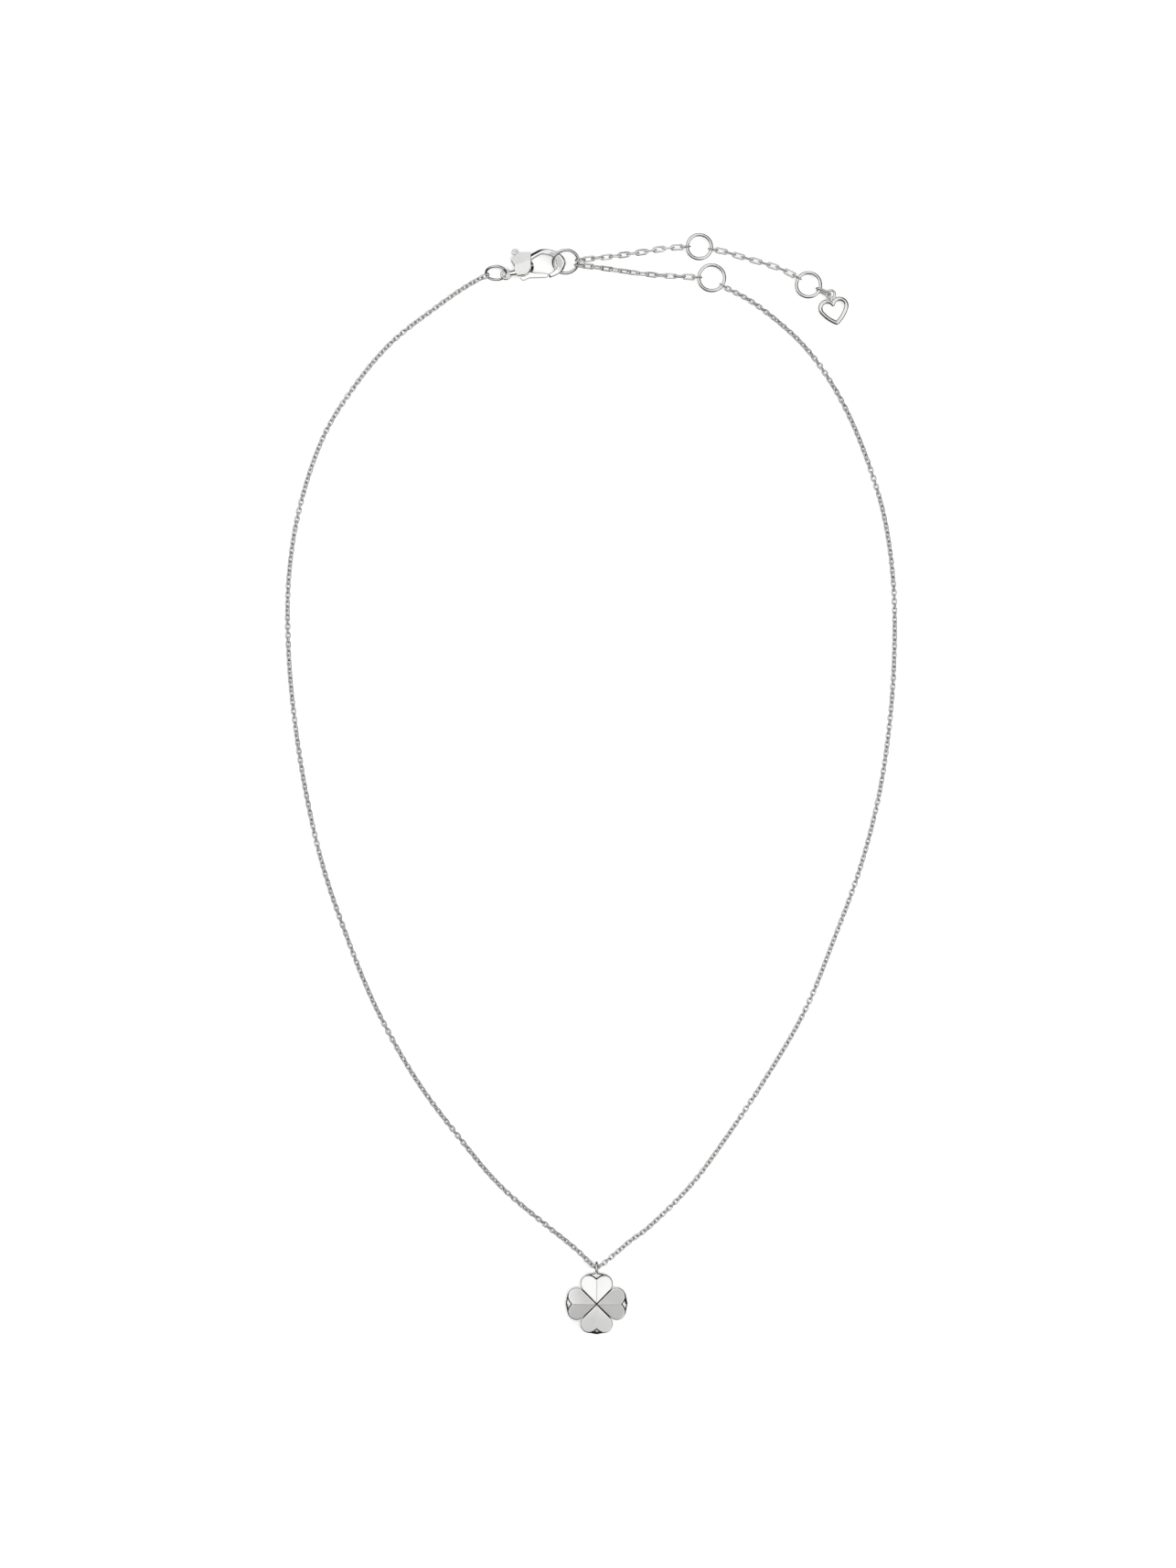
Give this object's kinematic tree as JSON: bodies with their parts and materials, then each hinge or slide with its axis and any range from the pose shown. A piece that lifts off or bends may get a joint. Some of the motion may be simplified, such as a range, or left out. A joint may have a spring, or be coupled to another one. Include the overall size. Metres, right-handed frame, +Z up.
{
  "type": "flower pendant necklace",
  "caption": "Flower pendant with heart-shaped petals on a fine cable chain, closed by a lobster clasp and an extender that ends in a small open heart charm.",
  "frame": {"origin": "middle of the whole necklace in plan, on the surface that it lies on", "axes": "+Y from the flower to the clasp, +Z up from the surface, +X to the side where the heart charm lies"},
  "size_m": [0.1024, 0.184, 0.0032],
  "materials": {
    "polished_silver": "mirror-polished rhodium-plated silver",
    "chain_silver": "bright drawn silver wire, a little less polished"
  },
  "bodies": {
    "root": {"flower_pendant": "polished_silver", "chain_left": "chain_silver", "chain_right": "chain_silver", "end_link_left": "chain_silver", "end_link_right": "chain_silver", "clasp_ring": "polished_silver", "clasp_body": "polished_silver", "clasp_pin": "polished_silver", "ring_first": "polished_silver", "ring_second": "polished_silver", "ring_third": "polished_silver", "ring_last": "polished_silver", "extender_first": "chain_silver", "extender_second": "chain_silver", "extender_third": "chain_silver", "charm_link": "polished_silver", "heart_charm": "polished_silver"},
    "lever": {"clasp_lever": "polished_silver"}
  },
  "joints": [
    {"name": "lever_hinge", "type": "hinge", "parent": "root", "child": "lever", "pos_m": [-0.01103, 0.08635, 0.0013], "axis": [0, 0, 1], "range_deg": [0, 20], "stiffness_Nm_per_rad": 0.0005}
  ]
}
